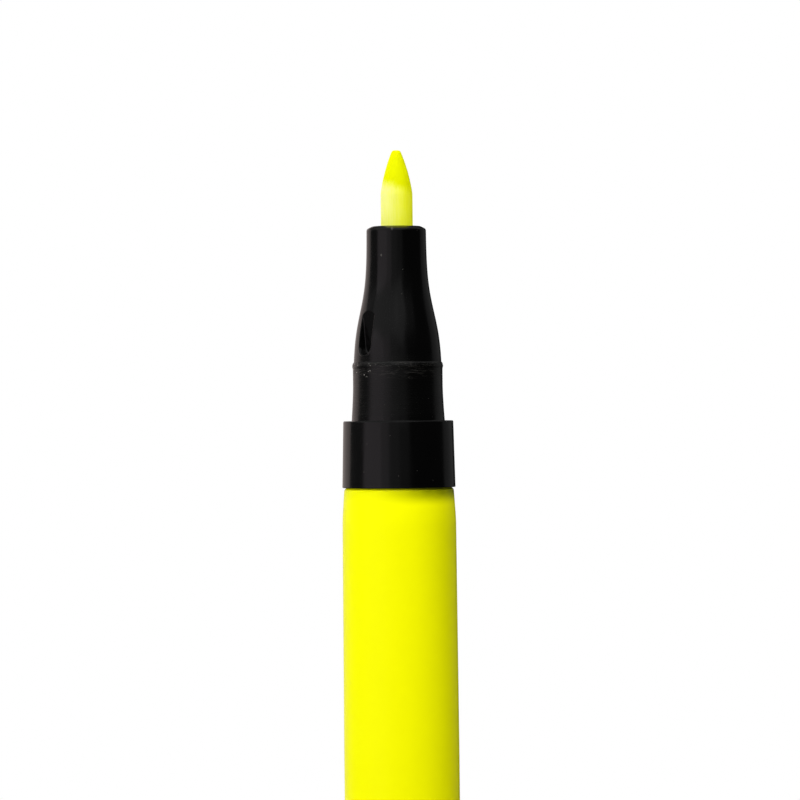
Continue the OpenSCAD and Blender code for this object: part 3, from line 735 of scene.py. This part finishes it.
def makeFloor():
    # a flat disc, its middle the pen's foot; it shines a little of its own, to the eye alone, so that it
    # stays pale
    r = np.linspace(0.02, studio["floorRadius"] / mm, 24)
    piece = putMesh("studioFloor", *closedDisc(turned(np.stack([r, 0 * r - studio["floorDrop"]], -1), 96)))
    f = Finish("floorPaper", Roughness=0.9, Specular_IOR_Level=0.1, Emission_Strength=studio["floorShine"],
               Emission_Color=colour(1, 1, 1))
    f.material.cycles.emission_sampling = "NONE"
    tooth = f.noise(f.stretched(0.6, 0.6, 0.6), detail=4.0)
    tone = studio["floorTone"]
    f.set("Base Color", f.mixed(tooth.ramp(0.3, 0.7), colour(tone, tone, tone),
                                colour(*[tone * studio["floorTooth"]] * 3)))
    f.give(piece)
    piece.visible_glossy = piece.visible_diffuse = piece.visible_shadow = False
    return piece


def makeSky():
    # white to the eye; as light, dim along the horizon and brighter overhead
    world = bpy.data.worlds.new("studioSky")
    world.use_nodes = True
    bpy.context.scene.world = world
    tree = world.node_tree
    tree.nodes.clear()
    place = tree.nodes.new("ShaderNodeTexCoord")
    split = tree.nodes.new("ShaderNodeSeparateXYZ")
    rise = tree.nodes.new("ShaderNodeMapRange")
    rise.interpolation_type = "SMOOTHSTEP"
    ray = tree.nodes.new("ShaderNodeLightPath")
    light, seen = tree.nodes.new("ShaderNodeBackground"), tree.nodes.new("ShaderNodeBackground")
    mix, out = tree.nodes.new("ShaderNodeMixShader"), tree.nodes.new("ShaderNodeOutputWorld")
    tree.links.new(place.outputs["Generated"], split.inputs[0])
    tree.links.new(split.outputs["Z"], rise.inputs["Value"])
    low, high = studio["skyRise"]
    for key, value in (("From Min", low), ("From Max", high),
                       ("To Min", studio["horizon"]), ("To Max", studio["sky"])):
        rise.inputs[key].default_value = value
    tree.links.new(rise.outputs[0], light.inputs["Strength"])
    seen.inputs["Strength"].default_value = studio["white"]
    seen.inputs["Color"].default_value = light.inputs["Color"].default_value = (1, 1, 1, 1)
    tree.links.new(ray.outputs["Is Camera Ray"], mix.inputs[0])
    tree.links.new(light.outputs[0], mix.inputs[1])
    tree.links.new(seen.outputs[0], mix.inputs[2])
    tree.links.new(mix.outputs[0], out.inputs[0])


# soft boxes: azimuth (0 on the camera's side, positive to its right) and elevation in degrees, distance,
# width and height in metres, radiance, and tint
plainWhite = (1.0, 1.0, 1.0)
panels = {"leftBox": (-105, 10, 0.9, 0.6, 0.7, 2.7, plainWhite),
          "keyBox": (-30, 35, 0.9, 0.6, 0.7, 2.75, plainWhite),
          "topBox": (15, 55, 0.9, 1.3, 0.7, 3.5, plainWhite),
          "backBox": (180, 40, 0.9, 1.2, 0.7, 2.2, plainWhite),
          "broadBox": (-30, 50, 0.9, 2.1, 1.17, 0.27, plainWhite),
          "fadeBox": (40, 50, 0.9, 0.5, 1.1, 0.07, plainWhite),
          "highLeftBox": (-105, 32, 0.8, 0.7, 0.5, 0.14, plainWhite),
          "gapBox": (-101, 0, 0.8, 0.6, 0.5, 0.055, plainWhite),
          "sideBox": (-58, -10, 0.8, 0.58, 0.8, 0.46, (1.0, 0.9, 0.96)),
          "wingBox": (-30, -10, 0.8, 0.28, 0.8, 0.32, (1.0, 0.92, 0.97)),
          "slitBox": (-2, 48, 0.8, 0.12, 0.8, 0.08, plainWhite),
          "frontBox": (-10, -12, 0.8, 0.33, 0.8, 0.14, plainWhite),
          "nearBox": (12, -12, 0.8, 0.33, 0.8, 0.08, plainWhite),
          "rimBox": (-148, 6, 0.8, 0.88, 0.5, 0.56, (1.0, 0.86, 0.82)),
          "farBox": (128, 15, 0.8, 0.65, 0.85, 0.1, plainWhite)}
unseenBoxes = ("leftBox", "keyBox", "topBox", "backBox")  # these light the pen but aren't mirrored in it


def addPanel(name, azimuth, elevation, away, width, height, strength, tint):
    # a soft box turned to the pen's front. The power that makes a panel of this size shine with a radiance
    # of strength is strength * width * height * pi
    a, e = math.radians(azimuth), math.radians(elevation)
    lamp = bpy.data.lights.new(name, "AREA")
    lamp.shape, lamp.size, lamp.size_y = "RECTANGLE", width, height
    lamp.energy = strength * width * height * math.pi
    lamp.color = tint
    holder = bpy.data.objects.new(name, lamp)
    look = away * np.array([math.sin(a) * math.cos(e), -math.cos(a) * math.cos(e), math.sin(e)])
    holder.location = look + [0, 0, collar * mm]
    lean, swing = math.atan2(math.hypot(look[0], look[1]), look[2]), math.atan2(look[0], -look[1])
    holder.rotation_euler = (lean, 0, swing)
    holder.visible_camera, holder.visible_glossy = False, name not in unseenBoxes
    bpy.context.scene.collection.objects.link(holder)


makeFloor()
makeSky()
for name, values in panels.items():
    addPanel(name, *values)

view = {"lens": 200.0, "sensor": 36.0, "nearest": 0.01, "furthest": 20.0,
        "away": 0.4273, "height": 24.0, "side": 0.00019, "roll": 0.62}


def makeCamera():
    data = bpy.data.cameras.new("studioCamera")
    data.lens, data.sensor_width = view["lens"], view["sensor"]
    data.clip_start, data.clip_end = view["nearest"], view["furthest"]
    holder = bpy.data.objects.new("studioCamera", data)
    # it looks along +Y, height below the tip, and is rolled by r about that line
    r = math.radians(view["roll"])
    holder.rotation_mode = "QUATERNION"
    turn = Matrix.Rotation(math.pi / 2, 3, "X") @ Matrix.Rotation(-r, 3, "Z")
    holder.rotation_quaternion = turn.to_quaternion()
    holder.location = (view["side"], -view["away"], (tip - view["height"]) * mm)
    bpy.context.scene.collection.objects.link(holder)
    bpy.context.scene.camera = holder


makeCamera()
bpy.context.scene.view_settings.view_transform = "Standard"
print("studio ready")
